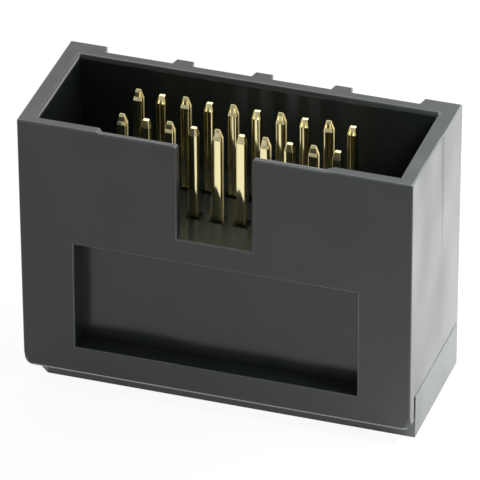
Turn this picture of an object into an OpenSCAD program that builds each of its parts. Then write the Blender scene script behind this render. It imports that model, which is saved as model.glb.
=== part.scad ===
// Right-angle box header for a circuit board: a moulded housing with an open mating port,
// two rows of square contacts, and a locator that holds the solder tails in line.
// It stands on its rear face, with the mating port up (+Z) and the board side towards +Y.
// The origin lies in the rear face, under the middle of the contact field.

/* [Contact field] */
// Contacts in each of the two rows
contacts_per_row = 10; // [4:1:20]
// Distance between neighbouring contacts in a row
pitch = 1.27; // [1.2:0.01:2.6]
// Distance between the two rows
row_spacing = 2.54; // [2.3:0.02:3.4]

/* [Contacts] */
// Side of the square contact
pin_size = 0.48; // [0.4:0.02:0.6]
// Width left at the end of an odd tip
odd_tip_width = 0.24; // [0.15:0.01:0.4]
// Height of the shoulder at the foot of an odd tip
shoulder_height = 0.18; // [0.1:0.01:0.3]
// Thickness left above the shoulder
shoulder_thickness = 0.32; // [0.24:0.01:0.4]
// Height of the steeper flank above the shoulder
flank_height = 0.23; // [0.1:0.01:0.4]
// Thickness left above the flank
flank_thickness = 0.19; // [0.12:0.01:0.26]
// Height of the nose above the flank
nose_height = 0.14; // [0.08:0.01:0.3]
// Thickness left at the end of the nose
nose_thickness = 0.06; // [0.04:0.01:0.12]
// Length of the tapered tip on the even contacts
even_tip_length = 0.4; // [0.3:0.02:0.8]
// Width left at the end of an even tip
even_tip_width = 0.32; // [0.15:0.01:0.4]
// Thickness left at the end of an even tip
even_tip_thickness = 0.23; // [0.1:0.01:0.36]
// How far the tips stay below the rim
tip_below_rim = 0.2; // [0.1:0.05:1]
// How much lower every second contact ends
tip_stagger = 0.1; // [0:0.02:0.3]
// Bend radius along the middle of the contact
bend_radius = 0.5; // [0.35:0.05:0.7]
// How far the tails reach past the board face
tail_reach = 2.6; // [1.5:0.1:4]
// Length of the tapered end of a tail
tail_tip_length = 0.5; // [0.2:0.05:1]
// Thickness left at the end of a tail
tail_tip_thickness = 0.24; // [0.15:0.01:0.36]
// Height of the lowest row of tails above the rear face
tail_height = 2.85; // [2.4:0.05:4]
// Distance between the four rows of tails
tail_step = 1.27; // [0.9:0.01:2]

/* [Housing walls] */
// From the outermost contact to the outside of the end wall
end_margin = 4.785; // [3.5:0.005:7]
// From a row of contacts to the wall of the mating port
row_to_wall = 2; // [1.8:0.05:3]
// Front wall along the mating port
front_wall = 0.53; // [0.4:0.01:1]
// Back wall between the stand-off ribs
back_wall = 0.73; // [0.5:0.01:1.2]
// End walls at the rim
end_wall = 0.98; // [0.7:0.01:1.4]
// Lean of each end wall from the rim to the lower edge
end_draft = 0.1; // [0:0.01:0.15]
// Depth of the mating port below the rim
port_depth = 5.5; // [3:0.1:8]
// Floor of the mating port, which grips the contacts
floor_thickness = 2.2; // [1.2:0.1:3]
// Room for the contacts to turn under the floor
turn_room = 1.24; // [1:0.02:2]
// Room between the front contacts and the front wall under the floor
chamber_gap = 0.54; // [0.3:0.02:0.8]

/* [Rim] */
// Width of the key slot in the front wall
slot_width = 4.02; // [2.5:0.02:5]
// Rounding of the rim at the key slot
slot_round = 0.2; // [0.1:0.05:0.4]
// Lead-in on the inner edges of the rim, rounded at the back and the ends
lead_in = 0.26; // [0.1:0.02:0.4]
// How far the front lead-in and the trough run past the outermost contact
field_overrun = 0.5; // [0.2:0.1:1]
// How much the front rim dips along the contacts
rim_dip = 0.06; // [0.02:0.02:0.2]

/* [Port floor] */
// Side of the small square pocket around each contact
pocket_size = 0.8; // [0.7:0.02:1]
// Depth of that pocket
pocket_depth = 0.15; // [0.05:0.05:0.4]
// Depth of the shallow trough that holds both rows
trough_depth = 0.06; // [0.02:0.02:0.2]
// How far the trough reaches past the contacts
trough_margin = 0.26; // [0.2:0.02:0.5]

/* [Front recess] */
// From the end of the housing to the recess
recess_end_margin = 2.93; // [1.5:0.01:4]
// From the lower edge of the front wall to the recess
recess_sill = 1.43; // [0.8:0.01:2]
// From the floor of the port down to the recess
recess_head = 1.37; // [0.8:0.01:2]
// Wall left behind the recess
recess_back_wall = 0.55; // [0.3:0.01:0.9]

/* [Stand-off ribs] */
// Ribs between the two end pads
rib_count = 3; // [1:1:4]
// Height of the pads, from the back wall to the board face
standoff = 0.56; // [0.3:0.02:1]
// How much lower the ribs are than the pads
rib_drop = 0.1; // [0.05:0.01:0.25]
// Width of a rib at its top
rib_top = 0.93; // [0.6:0.01:1.6]
// Width of a rib at its root
rib_root = 1.15; // [0.8:0.01:2.2]
// Width of the pads at the two ends
pad_width = 2; // [1.2:0.05:2.4]

/* [End relief] */
// From the board face to the line on the last contact's end, in front of which the face is set back
relief_line = 3.1; // [1.5:0.1:5]
// How far it is set back at that line, at the rim
relief_depth = 0.04; // [0.02:0.01:0.1]
// Height over which the line runs out
relief_height = 8; // [3:0.5:9]
// Angle by which it leans further back towards the front
relief_turn = 0.5; // [0:0.1:1]

/* [Tail locator] */
// How far the locator shows below the front wall
locator_drop = 1.12; // [0.8:0.02:1.6]
// From the front of the housing to the front of the locator
locator_setback = 0.97; // [0.9:0.01:1.4]
// Height of the ears that close the ends
ear_height = 2.55; // [2:0.05:3.2]
// Corner cut that marks the first contact
corner_cut = 0.95; // [0.5:0.05:1.4]
// Thickness of the comb between the tails
comb_thickness = 1; // [0.6:0.05:1.4]
// Thickness of the front wall's lip beside the ears
lip_thickness = 0.68; // [0.45:0.01:0.8]
// Rounding of the lower corners of the front wall
lip_round = 0.25; // [0.1:0.05:0.5]

/* [Fits] */
// Gap between the housing and the locator
seam_gap = 0.05; // [0.02:0.01:0.1]
// Gap on each side of a contact in the floor
grip_gap = 0.01; // [0.005:0.005:0.03]
// Gap on each side of a tail in the comb
comb_gap = 0.06; // [0.03:0.01:0.1]

/* [Hidden] */
$fn = 48;
past = 1;
rows = ["front", "back"];
last = contacts_per_row - 1;
field_half = last * pitch / 2;
half_length = field_half + end_margin;
port_half = half_length - end_wall;
edge_half = field_half + field_overrun;

port_y = row_spacing / 2 + row_to_wall;
front_y = -port_y - front_wall;
back_y = port_y + back_wall;
board_y = back_y + standoff;
rib_y = board_y - rib_drop;
chamber_y = -(row_spacing + pin_size) / 2 - chamber_gap;
recess_y = chamber_y - recess_back_wall;
locator_y = front_y + locator_setback;
trough_y = (row_spacing + pin_size) / 2 + trough_margin;
tail_end_y = board_y + tail_reach;

ceiling_z = tail_height + 3 * tail_step + turn_room;
floor_z = ceiling_z + floor_thickness;
rim_z = floor_z + port_depth;
dip_z = rim_z - rim_dip;
seam_z = ear_height + seam_gap;
rib_pitch = 2 * (half_length - pad_width) / (rib_count + 1);
rib_flank = (rib_root - rib_top) / 2;
odd_tip_length = shoulder_height + flank_height + nose_height;

function contact_name(row, i) = str("contact_", row, "_", i + 1);
function contact_x(i) = i * pitch - field_half;
function row_y(row) = (row == "front" ? -1 : 1) * row_spacing / 2;
function is_odd(i) = i % 2 == 0;
function tip_z(i) = rim_z - tip_below_rim - (is_odd(i) ? 0 : tip_stagger);
// The four rows of tails: the front contacts take the two lower ones, in turn.
function tail_z(row, i) = tail_height + tail_step * ((row == "front" ? 0 : 2) + (is_odd(i) ? 0 : 1));
// Half the length of the housing at a height, with the lean of the end walls.
function half_at(z) = half_length - end_draft * (rim_z - z) / (rim_z - locator_drop);
function rib_x(k) = (k - (rib_count - 1) / 2) * rib_pitch;
// A mating tip from its foot to its end: half its size, and how far below the end that is.
function tip_across(i) = is_odd(i)
    ? [[pin_size / 2, odd_tip_length], [odd_tip_width / 2, 0]]
    : [[pin_size / 2, even_tip_length], [even_tip_width / 2, 0]];
function tip_through(i) = is_odd(i)
    ? [
        [pin_size / 2, odd_tip_length],
        [shoulder_thickness / 2, flank_height + nose_height],
        [flank_thickness / 2, nose_height],
        [nose_thickness / 2, 0]
    ]
    : [[pin_size / 2, even_tip_length], [even_tip_thickness / 2, 0]];

// Outline of the leaning end walls, seen from the front.
module end_to_end(low, high) {
    polygon([[-half_at(low), low], [half_at(low), low], [half_at(high), high], [-half_at(high), high]]);
}

// Drawn in X and Z, from one Y to another.
module along_y(from, to) {
    translate([0, to, 0])
        rotate([90, 0, 0])
            linear_extrude(to - from)
                children();
}

// Drawn in Y and Z, centred on X.
module along_x(length) {
    rotate([90, 0, 90])
        linear_extrude(length, center = true)
            children();
}

// What a rounded corner takes away, with the corner at the origin and the solid at +X, +Y.
module corner_waste(radius) {
    difference() {
        translate([-past, -past])
            square(radius + past);
        translate([radius, radius])
            circle(radius);
        translate([radius, -past])
            square(radius + 2 * past);
        translate([-past, radius])
            square(radius + 2 * past);
    }
}

module front_wall_outline() {
    difference() {
        end_to_end(locator_drop, rim_z);
        for (side = [0, 1])
            mirror([side, 0])
                translate([-half_at(locator_drop), locator_drop])
                    corner_waste(lip_round);
    }
}

module body_block() {
    along_y(front_y, front_y + lip_thickness)
        front_wall_outline();
    along_y(front_y + lip_thickness, board_y)
        end_to_end(seam_z, rim_z);
    translate([-port_half + seam_gap, front_y, locator_drop])
        cube([2 * (port_half - seam_gap), chamber_y - front_y, floor_z - locator_drop]);
}

// The mating port seen from the front, in X and Z.
module port_across() {
    translate([-port_half, floor_z])
        square([2 * port_half, port_depth + past]);
    for (side = [0, 1])
        mirror([side, 0])
            rim_edge_waste(port_half);
}

// The mating port seen from the end, in Y and Z.
module port_through() {
    translate([-port_y, floor_z])
        square([2 * port_y, port_depth + past]);
    rim_edge_waste(port_y);
}

// What the lead-in takes from the edge between the rim and a wall of the port.
module rim_edge_waste(wall) {
    translate([wall, rim_z])
        mirror([0, 1])
            corner_waste(lead_in);
}

// The rounded edges of the back and the ends meet in a mitre.
module mating_port() {
    intersection() {
        along_y(-port_y, port_y + lead_in)
            port_across();
        along_x(2 * (port_half + lead_in))
            port_through();
    }
    translate([-edge_half, -trough_y, floor_z - trough_depth])
        cube([2 * edge_half, 2 * trough_y, trough_depth + past]);
}

// Chamfer on the front wall's inner edge, along the contacts.
module front_lead_in() {
    along_x(2 * edge_half)
        polygon([
            [past - port_y, rim_z - lead_in - past],
            [-port_y - lead_in - past, rim_z + past],
            [past - port_y, rim_z + past]
        ]);
}

module front_rim_dip() {
    translate([-edge_half, front_y - past, dip_z])
        cube([2 * edge_half, front_wall + past, rim_dip + past]);
}

module key_slot() {
    along_y(front_y - past, -port_y + past) {
        translate([-slot_width / 2, floor_z])
            square([slot_width, port_depth + past]);
        for (side = [0, 1])
            mirror([side, 0])
                translate([slot_width / 2, dip_z])
                    mirror([0, 1])
                        corner_waste(slot_round);
    }
}

module front_recess() {
    recess_half = half_length - recess_end_margin;
    low = locator_drop + recess_sill;
    high = floor_z - recess_head;
    translate([-recess_half, front_y - past, low])
        cube([2 * recess_half, recess_y - front_y + past, high - low]);
}

module rear_chamber() {
    translate([-port_half, chamber_y, -past])
        cube([2 * port_half, board_y - chamber_y + past, ceiling_z + past]);
}

module contact_holes() {
    hole = pin_size + 2 * grip_gap;
    for (row = rows)
        for (i = [0 : last])
            translate([contact_x(i), row_y(row), 0]) {
                translate([-hole / 2, -hole / 2, ceiling_z - past])
                    cube([hole, hole, floor_thickness + 2 * past]);
                translate([-pocket_size / 2, -pocket_size / 2, floor_z - trough_depth - pocket_depth])
                    cube([pocket_size, pocket_size, pocket_depth + past]);
            }
}

// The back is cut away between the pads, which are left at the board face, and between the lower ribs.
module between_ribs() {
    pad_x = half_length - pad_width;
    translate([-pad_x, rib_y, -past])
        cube([2 * pad_x, rib_drop + past, rim_z + 2 * past]);
    for (k = [0 : rib_count]) {
        left = k == 0 ? -pad_x : rib_x(k - 1) + rib_top / 2;
        right = k == rib_count ? pad_x : rib_x(k) - rib_top / 2;
        linear_extrude(rim_z + past)
            polygon([
                [left, rib_y + past],
                [left, rib_y],
                [left + rib_flank, back_y],
                [right - rib_flank, back_y],
                [right, rib_y],
                [right, rib_y + past]
            ]);
    }
}

// Sets the front of the last contact's end back, from a line that runs out below the rim.
module end_relief() {
    line_y = board_y - relief_line;
    run_out = half_at(rim_z - relief_height) - half_length + relief_depth;
    low = rim_z - 2 * relief_height;
    translate([half_length, line_y, 0])
        rotate([0, 0, -relief_turn])
            along_y(front_y - line_y - past, 0)
                polygon([
                    [2 * run_out - relief_depth, low],
                    [-relief_depth, rim_z],
                    [-relief_depth, rim_z + past],
                    [past, rim_z + past],
                    [past, low]
                ]);
}

module housing() {
    color("#2a2c2d")
        difference() {
            body_block();
            mating_port();
            front_lead_in();
            front_rim_dip();
            key_slot();
            front_recess();
            rear_chamber();
            contact_holes();
            between_ribs();
            end_relief();
        }
}

// One slot for each column, open at the top and as deep as the column's lower tail.
module comb_slots() {
    slot = pin_size + 2 * comb_gap;
    for (i = [0 : last]) {
        bottom = tail_z("front", i) - slot / 2;
        translate([contact_x(i) - slot / 2, back_y - comb_thickness - past, bottom])
            cube([slot, comb_thickness + 2 * past, ceiling_z - bottom]);
    }
}

module locator_ears() {
    difference() {
        along_y(locator_y, board_y)
            end_to_end(0, ear_height);
        translate([-port_half, locator_y - past, -past])
            cube([2 * port_half, board_y - locator_y + 2 * past, ear_height + 2 * past]);
    }
}

module tail_locator() {
    plate_thickness = locator_drop - seam_gap;
    comb_half = port_half - seam_gap;
    cut_side = corner_cut * sqrt(2);
    color("#242627")
        difference() {
            union() {
                along_y(locator_y, back_y)
                    end_to_end(0, plate_thickness);
                locator_ears();
                along_y(back_y - comb_thickness, back_y)
                    end_to_end(0, ear_height);
                translate([-comb_half, back_y - comb_thickness, 0])
                    cube([2 * comb_half, comb_thickness, ceiling_z - seam_gap]);
            }
            comb_slots();
            translate([-half_at(0), locator_y, 0])
                rotate([0, 0, 45])
                    cube([cut_side, cut_side, 2 * ear_height + past], center = true);
        }
}

// Side view of a contact in Y and Z: tapered pin, round bend and tail.
module contact_side(y, i, tail) {
    half = pin_size / 2;
    bend_y = y + bend_radius;
    bend_z = tail + bend_radius;
    pin_outline(y, bend_z, tip_z(i), tip_through(i));
    polygon([
        [bend_y, tail - half],
        [tail_end_y - tail_tip_length, tail - half],
        [tail_end_y, tail - tail_tip_thickness / 2],
        [tail_end_y, tail + tail_tip_thickness / 2],
        [tail_end_y - tail_tip_length, tail + half],
        [bend_y, tail + half]
    ]);
    intersection() {
        translate([bend_y, bend_z])
            difference() {
                circle(bend_radius + half);
                circle(bend_radius - half);
            }
        translate([y - half, tail - half])
            square(bend_radius + half);
    }
}

// Straight pin with a tapered tip, centred on a line.
module pin_outline(middle, low, end, steps) {
    foot = [[pin_size / 2, end - low]];
    polygon(concat(
        [for (s = concat(foot, steps)) [middle + s[0], end - s[1]]],
        [for (k = [len(steps) - 1 : -1 : 0]) [middle - steps[k][0], end - steps[k][1]]],
        [[middle - pin_size / 2, low]]
    ));
}

module contact(row, i) {
    y = row_y(row);
    tail = tail_z(row, i);
    color("#d9b45b")
        translate([contact_x(i), 0, 0])
            intersection() {
                along_x(pin_size)
                    contact_side(y, i, tail);
                along_y(y - pin_size, tail_end_y + past)
                    pin_outline(0, tail - pin_size, tip_z(i), tip_across(i));
            }
}

housing();
tail_locator();
for (row = rows)
    for (i = [0 : last])
        contact(row, i);
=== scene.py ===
# %% [markdown]
# # A right-angle box header
# The object is a small connector for the edge of a circuit board: a black moulded housing with an open
# mating port, two rows of gold contacts, and a black locator that closes the rear. The solids come from
# the frame, at their real size. This lesson gives them what a solid lacks: rounded edges that catch the
# light, the skin of moulded plastic, and the shine of plated metal.

# %% Load the frame
import math

import bpy
from mathutils import Euler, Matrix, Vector


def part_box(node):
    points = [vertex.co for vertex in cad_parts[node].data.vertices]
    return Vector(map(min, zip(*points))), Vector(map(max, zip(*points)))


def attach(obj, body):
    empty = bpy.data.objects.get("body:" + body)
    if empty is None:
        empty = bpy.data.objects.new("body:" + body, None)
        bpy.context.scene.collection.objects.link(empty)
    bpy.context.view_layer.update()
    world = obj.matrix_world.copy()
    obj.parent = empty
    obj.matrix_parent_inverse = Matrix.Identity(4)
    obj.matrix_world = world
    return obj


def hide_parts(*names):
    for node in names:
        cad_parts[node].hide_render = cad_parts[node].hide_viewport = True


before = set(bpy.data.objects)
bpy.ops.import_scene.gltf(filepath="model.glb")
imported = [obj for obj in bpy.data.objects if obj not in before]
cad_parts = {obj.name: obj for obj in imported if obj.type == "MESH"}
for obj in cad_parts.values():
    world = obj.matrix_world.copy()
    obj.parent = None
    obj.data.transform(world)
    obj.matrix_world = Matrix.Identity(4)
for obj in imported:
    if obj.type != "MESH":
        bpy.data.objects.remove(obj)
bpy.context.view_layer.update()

MM = 0.001

# %% [markdown]
# ## A welded copy of the housing
# The housing is one moulding, but its solid is a shell of loose triangles. It could be modelled again
# from a box, but a copy of the solid already has the right size and place. To round its edges, Blender
# has to know which faces meet at an edge, so the copy is welded: corners that lie on each other become
# one, and the triangles of a flat face become one face. The frame's own solid is left as it is, and the
# copy stands for it.

# %% Weld a copy of the housing
WELD_DISTANCE = 0.002 * MM
FLAT_ANGLE = math.radians(0.2)


def make_active(piece):
    bpy.ops.object.select_all(action="DESELECT")
    piece.select_set(True)
    bpy.context.view_layer.objects.active = piece


def copy_of(source, name):
    """Copies an object together with its mesh."""
    piece = bpy.data.objects.new(name, source.data.copy())
    bpy.context.scene.collection.objects.link(piece)
    make_active(piece)
    return piece


def welded_copy(node_name, piece_name):
    piece = copy_of(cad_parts[node_name], piece_name)
    bpy.ops.mesh.customdata_custom_splitnormals_clear()
    bpy.ops.object.mode_set(mode="EDIT")
    bpy.ops.mesh.select_all(action="SELECT")
    bpy.ops.mesh.remove_doubles(threshold=WELD_DISTANCE)
    bpy.ops.mesh.dissolve_limited(angle_limit=FLAT_ANGLE)
    bpy.ops.object.mode_set(mode="OBJECT")
    return piece


housing = welded_copy("housing", "housing_moulding")
low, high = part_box("housing")
print("housing welded:", len(housing.data.polygons), "faces")

# %% [markdown]
# ## The lip under the front wall
# The front wall ends below in a lip that hangs in front of the locator, a little lower than in the solid.
# Moving the whole underside down would take the wall behind it along. So a cut first marks where the lip
# ends, and only the underside in front of the cut is extruded.

# %% Draw the lip down
NEAR = 0.01 * MM  # places closer than this are taken as the same
FINEST_CUT = 0.0001 * MM
LEANING = 0.05  # the least part of a normal that counts as leaning that way
LIP_DEPTH = 0.68 * MM
LIP_ROUND = 0.26 * MM
LIP_DROP = 0.245 * MM


def select_where(piece, mode, wanted):
    """Starts Edit Mode with only those corners, edges or faces selected that pass the test."""
    make_active(piece)
    bpy.ops.object.mode_set(mode="EDIT")
    bpy.ops.mesh.select_mode(type=mode)
    bpy.ops.mesh.select_all(action="DESELECT")
    bpy.ops.object.mode_set(mode="OBJECT")
    parts = {"VERT": piece.data.vertices, "EDGE": piece.data.edges, "FACE": piece.data.polygons}
    for part in parts[mode]:
        part.select = wanted(part)
    bpy.ops.object.mode_set(mode="EDIT")


def is_underside(face):
    return face.center.z < low.z + LIP_ROUND and face.normal.z < -LEANING


def is_under_lip(face):
    return is_underside(face) and face.center.y < low.y + LIP_DEPTH


select_where(housing, "FACE", is_underside)
bpy.ops.mesh.bisect(plane_co=(0, low.y + LIP_DEPTH, 0), plane_no=(0, 1, 0), threshold=FINEST_CUT)
bpy.ops.object.mode_set(mode="OBJECT")
select_where(housing, "FACE", is_under_lip)
bpy.ops.mesh.extrude_region_move(TRANSFORM_OT_translate={"value": (0, 0, -LIP_DROP)})
bpy.ops.object.mode_set(mode="OBJECT")
lip_z = low.z - LIP_DROP
print("lip ends", round(lip_z / MM, 2), "mm above the floor")

# %% [markdown]
# ## A soft step on the end wall
# Two parts of the mould meet on the end wall, and leave a step of a few hundredths of a millimetre. On
# the real part it is a gentle slope. A bevel would be as narrow as the step is high, so the lower corner
# of the step is moved away from the upper one instead. The slope keeps sharp borders, so that its light
# differs from the wall's.

# %% Turn the step into a slope
END_BAND = 0.12 * MM
FACING = 0.99  # the least part of a normal that counts as facing that way
STEP_LINE = high.y - 3.1 * MM
STEP_SLOPE = 0.5 * MM


def is_step_corner(vertex):
    place = vertex.co
    on_line = abs(place.y - STEP_LINE) < NEAR and place.z > high.z - NEAR
    return on_line and high.x - END_BAND < place.x < high.x - NEAR


def is_step_slope(face):
    turned = face.normal.x > FACING and face.normal.y < -LEANING
    return turned and abs(face.center.y - STEP_LINE) < STEP_SLOPE


select_where(housing, "VERT", is_step_corner)
bpy.ops.transform.translate(value=(0, -STEP_SLOPE, 0))
bpy.ops.object.mode_set(mode="OBJECT")
select_where(housing, "FACE", is_step_slope)
bpy.ops.mesh.mark_sharp()
bpy.ops.object.mode_set(mode="OBJECT")
print("slopes on the end wall:", sum(face.select for face in housing.data.polygons))

# %% [markdown]
# ## The dip in the front rim
# In the middle the front rim is a few hundredths of a millimetre lower than at its ends. On the real part
# this dip has no hard ends either: there is a short slope on the left and a longer one on the right. They
# are made in the same way.

# %% Slope the ends of the dip
DIP_SLOPES = {-1: 0.15 * MM, 1: 0.45 * MM}
DIP_END = 6.215 * MM
DIP_LEVEL = high.z - 0.05 * MM
RIM_DEPTH = 0.4 * MM
RIM_WIDTH = 0.8 * MM


def is_dip_corner(vertex):
    place = vertex.co
    at_end = abs(abs(place.x) - DIP_END) < NEAR
    return at_end and place.y < low.y + RIM_WIDTH and high.z - RIM_DEPTH < place.z < DIP_LEVEL


for side, slope in DIP_SLOPES.items():
    select_where(housing, "VERT", lambda vertex: is_dip_corner(vertex) and vertex.co.x * side > 0)
    bpy.ops.transform.translate(value=(-side * slope, 0, 0))
    bpy.ops.object.mode_set(mode="OBJECT")
    print("corners moved at this end of the dip:", sum(vertex.select for vertex in housing.data.vertices))

# %% [markdown]
# ## Lean of the end walls
# The end walls lean out a little towards the port, so that the moulding comes out of its mould. The next
# step needs that lean, and the place where each end wall meets the front. Both could be written down from
# the drawing, but measured on the mesh they stay right when the solid changes.

# %% Measure the end walls


def corners_of(piece, part):
    """Gives the places of the corners of a face, or of the two ends of an edge."""
    return [piece.data.vertices[i].co for i in part.vertices]


def end_wall_at_front(piece, side):
    """Gives the normal of the end wall where it meets the front, and the top of the corner between them."""
    walls = []
    for face in piece.data.polygons:
        at_end = face.normal.x * side > FACING and face.center.x * side > high.x - END_BAND
        if at_end and min(corner.y for corner in corners_of(piece, face)) < low.y + NEAR:
            walls.append(face)
    wall = max(walls, key=lambda face: face.area)
    in_front = [corner for corner in corners_of(piece, wall) if corner.y < low.y + NEAR]
    return wall.normal.copy(), max(in_front, key=lambda corner: corner.z).copy()


end_walls = {side: end_wall_at_front(housing, side) for side in (-1, 1)}
for end, corner in end_walls.values():
    lean = math.degrees(math.asin(-end.z))
    print("end wall at x =", round(corner.x / MM, 2), "mm leans out by", round(lean, 2), "degrees")

# %% [markdown]
# ## Filed edges
# Some edges of the housing run into very short ones, and a bevel tangles there. They are filed instead: a
# plane cuts the edge off, and a face closes the cut. The two upright corners of the front take several
# cuts, each one turned a little further, which makes them round, and so do the two lower corners of the
# lip. All along the lip a cut at 45 degrees breaks the front edge. From above, the eye sees it almost
# edge on, so it mirrors the floor as a thin light line.

# %% File the front corners and the lip
CORNER_RADIUS = 0.12 * MM
CORNER_CUTS = 4
LIP_RADIUS = 0.42 * MM
LIP_CUTS = 5
LIP_CHAMFER = 0.22 * MM
QUARTER_TURN = math.pi / 2
FRONT = Vector((0, -1, 0))
DOWN = Vector((0, 0, -1))


def file_off(piece, point, outward):
    """Takes off what lies beyond a plane, and closes the cut."""
    make_active(piece)
    bpy.ops.object.mode_set(mode="EDIT")
    bpy.ops.mesh.select_all(action="SELECT")
    bpy.ops.mesh.bisect(
        plane_co=point, plane_no=outward.normalized(), use_fill=True, clear_outer=True, threshold=FINEST_CUT
    )
    bpy.ops.object.mode_set(mode="OBJECT")


def file_corner(piece, corner, first, second, radius, cuts, chamfer=0):
    """Rounds the corner between two walls, and with a chamfer also breaks its edge to the front."""
    middle = corner - (first + second) * radius
    for turn in range(1, cuts + 1):
        angle = QUARTER_TURN * turn / (cuts + 1)
        outward = (first * math.cos(angle) + second * math.sin(angle)).normalized()
        file_off(piece, middle + outward * radius, outward)
        if chamfer:
            file_off(piece, middle + outward * (radius - chamfer), FRONT + outward)


for end, corner in end_walls.values():
    lip_x = corner.x + (corner.z - lip_z) * end.z / end.x
    file_corner(housing, corner, FRONT, end, CORNER_RADIUS, CORNER_CUTS)
    file_corner(housing, Vector((lip_x, low.y, lip_z)), DOWN, end, LIP_RADIUS, LIP_CUTS, LIP_CHAMFER)
file_off(housing, Vector((0, low.y, lip_z + LIP_CHAMFER)), FRONT + DOWN)
print("housing filed:", len(housing.data.polygons), "faces")

# %% [markdown]
# ## Sharp edges
# No moulded edge is perfectly sharp, and the thin bright line along a rounded edge is what tells the eye
# that a black box is solid. The edges could be picked one by one. Blender finds them all by the angle
# between their two faces, and that leaves out the small turns of the filed corners, which are round
# already.

# %% Find the sharp edges
SHARP_ANGLE = math.radians(25)


def select_sharp_edges(piece):
    make_active(piece)
    bpy.ops.object.mode_set(mode="EDIT")
    bpy.ops.mesh.select_mode(type="EDGE")
    bpy.ops.mesh.select_all(action="DESELECT")
    bpy.ops.mesh.edges_select_sharp(sharpness=SHARP_ANGLE)
    bpy.ops.object.mode_set(mode="OBJECT")
    return sum(edge.select for edge in piece.data.edges)


print("sharp edges of the housing:", select_sharp_edges(housing))

# %% [markdown]
# ## Radii of the housing
# The outer edges of the rim have the largest radius, and then come the recess, the slot and the ribs. The
# tiny steps in the port floor stay sharp, because their radius would be far below a pixel. An edge is
# found by its place: both of its ends lie in the front face, in the rim, and so on. Its radius becomes a
# weight, as a share of the largest, because one Bevel modifier can then round all edges at once.

# %% Weigh the edges of the housing
RIM_RADIUS = 0.08 * MM
FRONT_RADIUS = 0.07 * MM
SMALL_RADIUS = 0.03 * MM
RIM_BAND = 0.07 * MM
RIB_BAND = 0.57 * MM
FRONT_WALL = 0.53 * MM


def housing_radius(a, b):
    at_rim = min(a.z, b.z) > high.z - RIM_BAND
    at_lip = min(a.z, b.z) < low.z + LIP_ROUND
    in_front = max(a.y, b.y) < low.y + NEAR
    at_ribs = min(a.y, b.y) > high.y - RIB_BAND
    at_end = min(abs(a.x), abs(b.x)) > high.x - END_BAND
    inside_front = max(abs(a.y - low.y - FRONT_WALL), abs(b.y - low.y - FRONT_WALL)) < NEAR
    behind_lip = max(abs(a.y - low.y - LIP_DEPTH), abs(b.y - low.y - LIP_DEPTH)) < NEAR
    if at_rim:
        return 0 if inside_front else RIM_RADIUS
    if (a - b).length < 2 * FRONT_RADIUS or at_lip or behind_lip:
        return 0
    if in_front:
        return FRONT_RADIUS
    return SMALL_RADIUS if at_end or at_ribs else 0


def weigh_edges(piece, radius_of, largest):
    """Weighs each selected edge by the radius that radius_of gives for its two ends."""
    weights = piece.data.attributes.new("bevel_weight_edge", "FLOAT", "EDGE")
    weighed = 0
    for edge in piece.data.edges:
        radius = radius_of(*corners_of(piece, edge)) if edge.select else 0
        weights.data[edge.index].value = radius / largest
        weighed += radius > 0
    return weighed


print("edges of the housing to round:", weigh_edges(housing, housing_radius, RIM_RADIUS))

# %% [markdown]
# ## Rounded edges
# Bevelling one edge after the other leaves ragged corners where three of them meet. One Bevel modifier
# that reads the weights rounds them all at once, and keeps the corners clean. The narrow faces that it
# makes take a second finish: a little shinier, as polished edges are, and painted paler, as a painted
# highlight along every edge.

# %% Round the housing
SMOOTH_ANGLE = math.radians(38)
# The rounded edges get a slot of their own, whose paler colour is a painted highlight.
EDGE_HIGHLIGHT_SLOT = 1  # the material slot of the rounded edges


def round_by_weight(piece, largest, segments):
    make_active(piece)
    piece.data.materials.append(None)
    bevel = piece.modifiers.new("rounding", "BEVEL")
    bevel.material = EDGE_HIGHLIGHT_SLOT
    bevel.width = largest
    bevel.segments = segments
    bevel.limit_method = "WEIGHT"
    bevel.use_clamp_overlap = False
    bpy.ops.object.modifier_apply(modifier=bevel.name)
    bpy.ops.object.shade_smooth_by_angle(angle=SMOOTH_ANGLE)
    normals = piece.modifiers.new("flat faces stay flat", "WEIGHTED_NORMAL")
    normals.keep_sharp = True
    bpy.ops.object.modifier_apply(modifier=normals.name)


def dress(piece, node_name):
    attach(piece, "root")
    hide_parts(node_name)


round_by_weight(housing, RIM_RADIUS, segments=3)
dress(housing, "housing")
print("housing rounded:", len(housing.data.polygons), "faces")

# %% [markdown]
# ## Ears of the tail locator
# The locator is a second moulding, pushed on from the rear. Its two ears stop a tenth of a millimetre
# short of the housing's end walls. Their tops are lowered a little further, because the seam then reads
# as a thin dark line.

# %% Lower the ears
EAR_TOP = 2.55 * MM
EAR_WIDTH = 1.2 * MM
EAR_GAP = 0.05 * MM


def is_ear_top(face):
    at_top = abs(face.center.z - EAR_TOP) < NEAR and face.normal.z > FACING
    return at_top and abs(face.center.x) > high.x - EAR_WIDTH


locator = welded_copy("tail_locator", "tail_locator_moulding")
select_where(locator, "FACE", is_ear_top)
bpy.ops.transform.translate(value=(0, 0, -EAR_GAP))
bpy.ops.object.mode_set(mode="OBJECT")
print("ears lowered:", sum(face.select for face in locator.data.polygons))

# %% [markdown]
# ## Edges of the tail locator
# The locator's edges are nearly sharp. They are rounded in the same way as the housing's, in front and at
# both ends. The edges inside, between the comb's teeth, are left alone, because they are hidden.

# %% Round the tail locator
LOCATOR_RADIUS = 0.02 * MM
locator_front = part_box("tail_locator")[0].y


def locator_radius(a, b):
    at_end = min(abs(a.x), abs(b.x)) > high.x - END_BAND
    in_front = max(a.y, b.y) < locator_front + NEAR
    return LOCATOR_RADIUS if at_end or in_front else 0


select_sharp_edges(locator)
print("edges of the locator to round:", weigh_edges(locator, locator_radius, LOCATOR_RADIUS))
round_by_weight(locator, LOCATOR_RADIUS, segments=2)
dress(locator, "tail_locator")
print("locator rounded:", len(locator.data.polygons), "faces")

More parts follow.
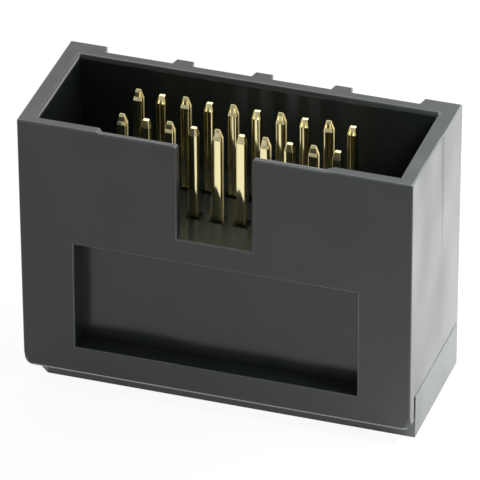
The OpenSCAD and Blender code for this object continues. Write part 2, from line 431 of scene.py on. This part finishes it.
# %% [markdown]
# ## Section of a contact
# A contact is stamped from strip, so its section is a square with rolled corners. It is drawn as a plane
# whose corners are rounded and whose sides are cut into short lengths. A solid bar could be bent as well,
# but only the outline is kept here: it can be carried along the whole contact, and change its shape on
# the way.

# %% Draw the section
PIN = 0.48 * MM
CORNER = 0.05 * MM
CORNER_SEGMENTS = 4
SIDE_CUTS = 5


def is_side(edge):
    """Tells the four long edges from the short ones of the rounded corners."""
    start, end = corners_of(section, edge)
    return (start - end).length > PIN / 2


bpy.ops.object.select_all(action="DESELECT")
bpy.ops.mesh.primitive_plane_add(size=PIN, location=(0, 0, 0))
section = bpy.context.active_object
bpy.ops.object.mode_set(mode="EDIT")
bpy.ops.mesh.bevel(affect="VERTICES", offset=CORNER, segments=CORNER_SEGMENTS)
bpy.ops.object.mode_set(mode="OBJECT")
select_where(section, "EDGE", is_side)
bpy.ops.mesh.subdivide(number_cuts=SIDE_CUTS)
bpy.ops.mesh.select_all(action="SELECT")
bpy.ops.mesh.delete(type="ONLY_FACE")
bpy.ops.object.mode_set(mode="OBJECT")
print("section:", len(section.data.vertices), "corners")

# %% [markdown]
# ## Pins
# The outline is extruded from the foot of the pin to its tip. Above the port floor the pin has been
# pressed to size, which leaves its four faces slightly crowned: To Sphere does that to the outline. A
# plain box would do for the shape, but the crown matters to the eye, because each pin then shows a narrow
# bright stripe instead of a flat sheet of gold.

# %% Raise one pin
BEND = 0.5 * MM
GRIP_TOP = 9.9 * MM
GRIP_RISE = 0.06 * MM
CROWN = 0.3
CROWN_SIZE = 1.03


def moved_copy(source, name, step):
    """Copies an object, moves the copy's mesh and leaves it in Edit Mode, with everything selected."""
    piece = copy_of(source, name)
    bpy.ops.object.mode_set(mode="EDIT")
    bpy.ops.mesh.select_mode(type="EDGE")
    bpy.ops.mesh.select_all(action="SELECT")
    bpy.ops.transform.translate(value=step)
    return piece


def carry_on(step, scale=None):
    """Extrudes the selected outline, and scales the new one about its own middle."""
    bpy.ops.mesh.extrude_region_move(TRANSFORM_OT_translate={"value": step})
    if scale:
        bpy.ops.transform.resize(value=scale)


def pin_foot(node_name):
    """Gives the middle of the pin where the bend below it ends."""
    least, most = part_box(node_name)
    return Vector(((least.x + most.x) / 2, least.y + PIN / 2, least.z + PIN / 2 + BEND))


def raise_pin(node_name, tip_height):
    """Carries the section up to the foot of the tip."""
    foot = pin_foot(node_name)
    tip_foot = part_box(node_name)[1].z - tip_height
    form = moved_copy(section, "contact_form", foot)
    carry_on((0, 0, GRIP_TOP - foot.z))
    carry_on((0, 0, GRIP_RISE))
    bpy.ops.transform.tosphere(value=CROWN)
    bpy.ops.transform.resize(value=(CROWN_SIZE, CROWN_SIZE, 1))
    carry_on((0, 0, tip_foot - GRIP_TOP - GRIP_RISE))
    return form


print("front pins start", round(pin_foot("contact_front_1").z / MM, 3), "mm above the floor")

# %% [markdown]
# ## Tips
# The strip for the odd contacts and the strip for the even ones came from different tools: the odd tips
# are longer and have a shoulder, a flank and a thin nose, the even ones a plain taper with a round end.
# With two rows that makes four forms, and each is modelled once. A tip is a few smaller outlines with
# sharp borders, and then a cap of outlines without them, which the light sees as round. A bevel could
# only give every side the same slope.

# %% Shape the tips
# The outlines from the foot of the tip up: height above the last one, scale in X, scale in Y.
ODD_TIP = [(0.18 * MM, 0.836, 0.671), (0.23 * MM, 0.75, 0.596), (0.125 * MM, 0.8, 0.32)]
ODD_CAP = [(0.009 * MM, 0.964, 0.851), (0.006 * MM, 0.912, 0.591)]
EVEN_TIP = [(0.32 * MM, 0.68, 0.57)]
EVEN_CAP = [(0.045 * MM, 0.9, 0.9), (0.025 * MM, 0.78, 0.76), (0.01 * MM, 0.66, 0.6)]


def raise_pin_and_tip(node_name, tip, cap):
    form = raise_pin(node_name, sum(step[0] for step in tip + cap))
    for rise, scale_x, scale_y in tip:
        bpy.ops.mesh.mark_sharp()
        carry_on((0, 0, rise), (scale_x, scale_y, 1))
    for rise, scale_x, scale_y in cap:
        carry_on((0, 0, rise), (scale_x, scale_y, 1))
    bpy.ops.mesh.edge_face_add()
    bpy.ops.object.mode_set(mode="OBJECT")
    return form


forms = {}
for row in ("front", "back"):
    forms[row, 1] = raise_pin_and_tip(f"contact_{row}_1", ODD_TIP, ODD_CAP)
    forms[row, 2] = raise_pin_and_tip(f"contact_{row}_2", EVEN_TIP, EVEN_CAP)
bpy.data.objects.remove(section)
print("forms:", len(forms), "with", [len(form.data.polygons) for form in forms.values()], "faces")

# %% [markdown]
# ## Bends and tails
# Behind the port floor each contact turns towards the circuit board and ends in a solder tail. The lower
# end of the pin is spun through the bend, as a bending tool turns it, and then pulled out into the tail,
# whose end is narrower, so that it finds its hole.

# %% Bend the tails
BEND_STEPS = 6
TAIL_TIP = 0.5 * MM
TAIL_TIP_SCALE = 0.5


def bend_tail(form, node_name):
    foot = pin_foot(node_name)
    tail_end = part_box(node_name)[1].y
    select_where(form, "VERT", lambda vertex: vertex.co.z < foot.z + NEAR)
    bend_middle = foot + Vector((0, BEND, 0))
    bpy.ops.mesh.spin(steps=BEND_STEPS, angle=-QUARTER_TURN, center=bend_middle, axis=(1, 0, 0))
    carry_on((0, tail_end - TAIL_TIP - bend_middle.y, 0))
    bpy.ops.mesh.mark_sharp()
    carry_on((0, TAIL_TIP, 0), (1, 1, TAIL_TIP_SCALE))
    bpy.ops.mesh.edge_face_add()
    bpy.ops.mesh.select_all(action="SELECT")
    bpy.ops.mesh.normals_make_consistent(inside=False)
    bpy.ops.object.mode_set(mode="OBJECT")
    bpy.ops.object.shade_smooth_by_angle(angle=SMOOTH_ANGLE)


for (row, first), form in forms.items():
    bend_tail(form, f"contact_{row}_{first}")
print("forms with tails:", [len(form.data.polygons) for form in forms.values()], "faces")

# %% [markdown]
# ## Sheared sides
# The two faces of a contact that were the faces of the strip are smooth. On the odd contacts the other
# two show how a punch cut them: the front third of the cut is burnished, and the rest tore, so it is
# rough. Those faces point along the row. They could be a separate piece, but a second finish on the same
# mesh leaves no gap.

# %% Mark the sheared faces
TORN = 1  # the material slot of the torn faces
SIDEWAYS = 0.8
TORN_FROM = -0.08 * MM


def mark_sheared_faces(form, node_name):
    torn_y = pin_foot(node_name).y + TORN_FROM
    marked = 0
    for face in form.data.polygons:
        if abs(face.normal.x) > SIDEWAYS and face.center.y > torn_y:
            face.material_index = TORN
            marked += 1
    return marked


for row in ("front", "back"):
    print(row, "odd form:", mark_sheared_faces(forms[row, 1], f"contact_{row}_1"), "sheared faces")

# %% [markdown]
# ## Twenty contacts
# Every contact gets a copy of its form with a mesh of its own, moved along the row to the place of its
# solid. An Array modifier could repeat the form, but the twenty contacts have to stay separate pieces.

# %% Place the contacts
CONTACTS_IN_ROW = 10
contacts = []
for (row, first), form in forms.items():
    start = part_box(f"contact_{row}_{first}")[0]
    for number in range(first, CONTACTS_IN_ROW + 1, 2):
        node_name = f"contact_{row}_{number}"
        contact = moved_copy(form, node_name + "_plated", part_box(node_name)[0] - start)
        bpy.ops.object.mode_set(mode="OBJECT")
        dress(contact, node_name)
        contacts.append(contact)
    bpy.data.objects.remove(form)
print("contacts:", len(contacts), "with", len(contacts[0].data.polygons), "faces in the first")

# %% [markdown]
# ## Colours and nodes
# Colours are written as they are seen, and one function turns them to the linear values that light adds
# up in. A second one adds a node, sets its properties and sockets, and links it, so that a material reads
# as a list of steps. All of that could be done by hand in the shader editor, but a script can do it
# again.

# %% Helpers for materials
# A Mix node has sockets for each kind of value under the same names, so those for colours go by number.
MIX_SHARE, MIX_FIRST, MIX_SECOND, MIXED_COLOUR = 0, 6, 7, 2


def srgb(code):
    """Turns a colour to linear values, by the curve of the sRGB standard."""
    channels = [int(code[i : i + 2], 16) / 255 for i in (1, 3, 5)]
    linear = [c / 12.92 if c <= 0.04045 else ((c + 0.055) / 1.055) ** 2.4 for c in channels]
    return (*linear, 1)


def add_node(tree, kind, settings=None, links=None):
    """Adds a node. The settings name its properties and sockets, and the links say what feeds a socket."""
    node = tree.nodes.new(kind)
    for key, value in (settings or {}).items():
        if isinstance(key, int) or key in node.inputs:
            node.inputs[key].default_value = value
        else:
            setattr(node, key, value)
    for key, source in (links or {}).items():
        tree.links.new(source, node.inputs[key])
    return node


def new_material(name):
    material = bpy.data.materials.new(name)
    material.use_nodes = True
    material.node_tree.nodes.clear()
    return material, material.node_tree


print("a mid grey of #808080 is", round(srgb("#808080")[0], 3), "in linear light")

# %% [markdown]
# ## Moulded plastic
# Both mouldings are black polyester filled with glass fibre. The melt freezes against polished steel, so
# the skin is satin, a little duller and paler in clouds where fibres lie just under it. The walls sink as
# they cool, which makes broad shallow waves along the flow. They can't be seen from the front, but where
# the eye looks along a wall they turn a plain reflection into soft patches. Both are noise on Object
# coordinates, in millimetres, which needs no unwrapping and runs on over every edge.

# %% Moulded plastic
POLYESTER_IOR = 1.5
NOISE_LOW, NOISE_HIGH = 0.2, 0.8  # noise hardly ever leaves this range
CLOUD = 2.5 * MM  # how wide a patch is where fibres lie near the surface
WAVE = (3.6 * MM, 3.6 * MM, 6 * MM)  # how long a wave is along X, Y and Z
# The real waves are a few hundredths of a millimetre deep. They are drawn several times deeper,
# so that they show at this size.
WAVE_HEIGHT = 0.24 * MM


def finish_surface(tree, pattern, relief, colours, roughness, settings):
    """Ends a material: the pattern varies its colour and roughness, and the relief bends its normals."""
    tone = add_node(
        tree,
        "ShaderNodeMix",
        {"data_type": "RGBA", MIX_FIRST: srgb(colours[0]), MIX_SECOND: srgb(colours[1])},
        {MIX_SHARE: pattern},
    )
    polish = add_node(
        tree,
        "ShaderNodeMapRange",
        {"From Min": NOISE_LOW, "From Max": NOISE_HIGH, "To Min": roughness[0], "To Max": roughness[1]},
        {"Value": pattern},
    )
    shader = add_node(
        tree,
        "ShaderNodeBsdfPrincipled",
        settings,
        {"Base Color": tone.outputs[MIXED_COLOUR], "Roughness": polish.outputs["Result"], "Normal": relief},
    )
    add_node(tree, "ShaderNodeOutputMaterial", links={"Surface": shader.outputs["BSDF"]})


def moulded_plastic(name, colours, roughness):
    material, tree = new_material(name)
    place = add_node(tree, "ShaderNodeTexCoord").outputs["Object"]
    flow = add_node(tree, "ShaderNodeMapping", {"Scale": [1 / length for length in WAVE]}, {"Vector": place})
    wave = add_node(tree, "ShaderNodeTexNoise", {"Scale": 1, "Detail": 0}, {"Vector": flow.outputs["Vector"]})
    sunk = add_node(tree, "ShaderNodeBump", {"Distance": WAVE_HEIGHT}, {"Height": wave.outputs["Fac"]})
    cloud = add_node(tree, "ShaderNodeTexNoise", {"Scale": 1 / CLOUD, "Detail": 1}, {"Vector": place})
    settings = {"IOR": POLYESTER_IOR}
    finish_surface(tree, cloud.outputs["Fac"], sunk.outputs["Normal"], colours, roughness, settings)
    return material


# The skin gives the eye a deep black that mirrors the floor softly.
housing_skin = moulded_plastic(
    "glass_filled_polyester_as_moulded", colours=("#1d2221", "#232827"), roughness=(0.22, 0.268)
)
print("plastic:", housing_skin.name, "with", len(housing_skin.node_tree.nodes), "nodes")

# %% [markdown]
# ## Finishes of both mouldings
# The locator comes from another mould with a duller face. Its grey is painted light: the plastic is black,
# and the paler colour stands in for the lit paper that it mirrors. On both mouldings the edges are a little
# shinier, as polished edges are, and painted paler as a painted highlight, which draws the thin light lines.
# The edges could be found in the shader, but the rounded faces already have a material slot of their own.

# %% Dress the mouldings


def put_on(piece, *materials):
    """Puts the materials into the piece's slots, in order."""
    slots = piece.data.materials
    while len(slots) < len(materials):
        slots.append(None)
    for number, material in enumerate(materials):
        slots[number] = material


# A polished edge gives the eye a fine pale line along each corner of the black box. Its paler colour is a
# painted highlight, and only its slightly lower roughness is real polish.
housing_edges_painted_highlight = moulded_plastic(
    "glass_filled_polyester_polish_and_painted_highlight", colours=("#3e4241", "#525655"), roughness=(0.2, 0.26)
)
# The duller skin gives the eye an even dark grey, with hardly a reflection in it. The grey is painted light:
# the plastic is black, and the paler colour stands in for the lit paper that the locator mirrors.
locator_skin_painted_light = moulded_plastic(
    "glass_filled_polyester_locator_dull_and_painted_light", colours=("#484c4b", "#4f5352"), roughness=(0.38, 0.44)
)
# Its polished edges give the eye a line that is only a little paler than the skin, and that paleness is a
# painted highlight.
locator_edges_painted_highlight = moulded_plastic(
    "glass_filled_polyester_locator_polish_and_painted_highlight", colours=("#4e5251", "#565a59"), roughness=(0.2, 0.26)
)
put_on(housing, housing_skin, housing_edges_painted_highlight)
put_on(locator, locator_skin_painted_light, locator_edges_painted_highlight)
for piece in (housing, locator):
    print(piece.name, "wears", [material.name for material in piece.data.materials])

# %% [markdown]
# ## Gold plating
# The contacts are bronze, plated with nickel and then with a little gold. Plating follows what is under
# it: the strip's rolled faces have fine lines along their length and mirror the surroundings in a narrow
# stripe, and the torn faces scatter the light. The lines are noise that is stretched along the contact,
# because evenly spaced lines would look ruled.

# %% Gold plating
# Rolling lines are about a hundredth of a millimetre wide. They are drawn five times wider, as wide
# as a pixel, so that they show.
LINE_WIDTH = 0.05 * MM
LINE_LENGTH = 1.5 * MM
LINE_HEIGHT = 0.0004 * MM
LINE_SCALE = (1 / LINE_WIDTH, 1 / LINE_LENGTH, 1 / LINE_LENGTH)


def gold_plating(name, colours, roughness):
    material, tree = new_material(name)
    place = add_node(tree, "ShaderNodeTexCoord").outputs["Object"]
    drawn = add_node(tree, "ShaderNodeMapping", {"Scale": LINE_SCALE}, {"Vector": place})
    along = drawn.outputs["Vector"]
    lines = add_node(tree, "ShaderNodeTexNoise", {"Scale": 1, "Detail": 2}, {"Vector": along})
    relief = add_node(tree, "ShaderNodeBump", {"Distance": LINE_HEIGHT}, {"Height": lines.outputs["Fac"]})
    settings = {"Metallic": 1}
    finish_surface(tree, lines.outputs["Fac"], relief.outputs["Normal"], colours, roughness, settings)
    return material


# Plating on a rolled face gives the eye a bright stripe on pale gold.
rolled_gold = gold_plating(
    "gold_plating_on_rolled_bronze", colours=("#f5eab8", "#f0e4ac"), roughness=(0.08, 0.13)
)
# Plating on a torn face gives the eye an even, pale and nearly dull gold.
torn_gold = gold_plating(
    "gold_plating_on_sheared_bronze", colours=("#f3e4ac", "#e8d596"), roughness=(0.7, 0.8)
)
for contact in contacts:
    put_on(contact, rolled_gold, torn_gold)
print("gold:", rolled_gold.name, "and", torn_gold.name, "on", len(contacts), "contacts")

# %% [markdown]
# ## Floor
# The header stands on white paper. The camera sees the paper as nearly pure white, with only a trace of
# the header's shadow left, and a shiny surface sees it a little whiter than it is lit. More light would
# whiten the paper too, but it would bleach the header. So the material mixes in plain white, and the kind
# of ray says how much of it.

# %% Floor
FLOOR_SIZE = 4.0
SEEN_WHITENESS = 0.93
MIRRORED_WHITENESS = 0.7
WHITE = (1, 1, 1, 1)
bpy.ops.object.select_all(action="DESELECT")
bpy.ops.mesh.primitive_plane_add(size=FLOOR_SIZE, location=(0, 0, 0))
floor = bpy.context.active_object
floor.name = "floor"
# Uncoated paper gives the eye an even white without a reflection.
floor_material, tree = new_material("white_paper_sweep")
ray = add_node(tree, "ShaderNodeLightPath").outputs
mirrored = add_node(
    tree,
    "ShaderNodeMath",
    {"operation": "MAXIMUM"},
    {0: ray["Is Glossy Ray"], 1: ray["Is Transmission Ray"]},
)
faint = add_node(
    tree, "ShaderNodeMath", {"operation": "MULTIPLY", 1: MIRRORED_WHITENESS}, {0: mirrored.outputs["Value"]}
)
share = add_node(
    tree,
    "ShaderNodeMath",
    {"operation": "MULTIPLY_ADD", 1: SEEN_WHITENESS},
    {0: ray["Is Camera Ray"], 2: faint.outputs["Value"]},
)
paper = add_node(tree, "ShaderNodeBsdfDiffuse", {"Color": srgb("#fbfbfb")})
white = add_node(tree, "ShaderNodeEmission", {"Color": WHITE, "Strength": 1})
mix = add_node(
    tree,
    "ShaderNodeMixShader",
    links={0: share.outputs["Value"], 1: paper.outputs["BSDF"], 2: white.outputs["Emission"]},
)
add_node(tree, "ShaderNodeOutputMaterial", links={"Surface": mix.outputs["Shader"]})
put_on(floor, floor_material)
print("floor:", FLOOR_SIZE, "m of", floor_material.name)

# %% [markdown]
# ## Light tent
# Small glossy things are photographed in a tent of white cloth that is open towards the camera. Its walls
# are brighter than its top, and the wall behind is the brightest. The cloth could be modelled, but the
# world does the same without noise: its strength falls off with height and towards the camera.

# %% Light tent
TENT_LEVEL = 1.11
TENT_SLOPE = (0, 0.57, -0.61)
world = bpy.data.worlds.new("light tent")
bpy.context.scene.world = world
world.use_nodes = True
tree = world.node_tree
tree.nodes.clear()
direction = add_node(tree, "ShaderNodeTexCoord").outputs["Generated"]
slope = add_node(tree, "ShaderNodeVectorMath", {"operation": "DOT_PRODUCT", 1: TENT_SLOPE}, {0: direction})
level = add_node(tree, "ShaderNodeMath", {"operation": "ADD", 1: TENT_LEVEL}, {0: slope.outputs["Value"]})
tent = add_node(tree, "ShaderNodeBackground", {"Color": WHITE}, {"Strength": level.outputs["Value"]})
add_node(tree, "ShaderNodeOutputWorld", links={"Surface": tent.outputs["Background"]})
behind, above = [round(TENT_LEVEL + fall, 2) for fall in TENT_SLOPE[1:]]
print("tent: strength", behind, "behind and", above, "above")

# %% [markdown]
# ## Lamps
# Three lamps stand behind the header. A wide softbox above draws the thin light lines along the edges
# that face the camera, and a small one low on the right does so along the left rim. The third lights the
# paper to the right, which the end wall mirrors towards the camera. Area lamps are used, because a point
# lamp would show in the gold as hard sparks.

# %% Lamps
PORT_MOUTH = Vector((0, 0, 15)) * MM
LIT_PAPER = Vector((15, 14, 0)) * MM


def add_softbox(name, place, aim, width, height, watts, spread):
    lamp_data = bpy.data.lights.new(name, "AREA")
    lamp_data.shape = "RECTANGLE"
    lamp_data.size = width
    lamp_data.size_y = height
    lamp_data.energy = watts
    lamp_data.spread = math.radians(spread)
    lamp = bpy.data.objects.new(name, lamp_data)
    bpy.context.scene.collection.objects.link(lamp)
    lamp.location = place
    lamp.rotation_euler = (place - aim).to_track_quat("Z", "Y").to_euler()
    lamp.visible_camera = False
    print(name, "of", watts, "W,", round((place - aim).length / MM), "mm away")


add_softbox(
    "rear softbox",
    place=Vector((0, 185, 245)) * MM,
    aim=PORT_MOUTH,
    width=500 * MM,
    height=120 * MM,
    watts=0.47,
    spread=180,
)
add_softbox(
    "low softbox",
    place=Vector((140, 250, 110)) * MM,
    aim=PORT_MOUTH,
    width=100 * MM,
    height=100 * MM,
    watts=0.12,
    spread=180,
)
add_softbox(
    "paper lamp",
    place=Vector((24, 14, 30)) * MM,
    aim=LIT_PAPER,
    width=45 * MM,
    height=12 * MM,
    watts=0.0155,
    spread=90,
)

# %% [markdown]
# ## Camera
# The photo was taken from a little to the right and from above, through a long lens and from many times the
# header's length away, so upright edges stay nearly parallel. The camera could be dragged into place, but
# its angles say where it stands, and they can be changed one at a time.

# %% Camera
AZIMUTH = math.radians(18.281)
ELEVATION = math.radians(31.906)
ROLL = math.radians(-0.232)
DISTANCE = 355.661 * MM
LENS = 522.3
SENSOR_WIDTH = 36
CLIP_START = 10 * MM
AIM = Vector((0.044, 0.2, 8.093)) * MM
level_part = Vector((math.sin(AZIMUTH), -math.cos(AZIMUTH), 0)) * math.cos(ELEVATION)
back = level_part + Vector((0, 0, math.sin(ELEVATION)))
turned = back.to_track_quat("Z", "Y").to_matrix() @ Euler((0, 0, ROLL)).to_matrix()
camera_data = bpy.data.cameras.new("camera")
camera_data.sensor_width = SENSOR_WIDTH
camera_data.lens = LENS
camera_data.clip_start = CLIP_START
camera = bpy.data.objects.new("camera", camera_data)
bpy.context.scene.collection.objects.link(camera)
camera.location = AIM + back * DISTANCE
camera.rotation_euler = turned.to_euler()
bpy.context.scene.camera = camera
bpy.context.scene.view_settings.view_transform = "Standard"
print("camera at", [round(v / MM, 1) for v in camera.location], "mm")
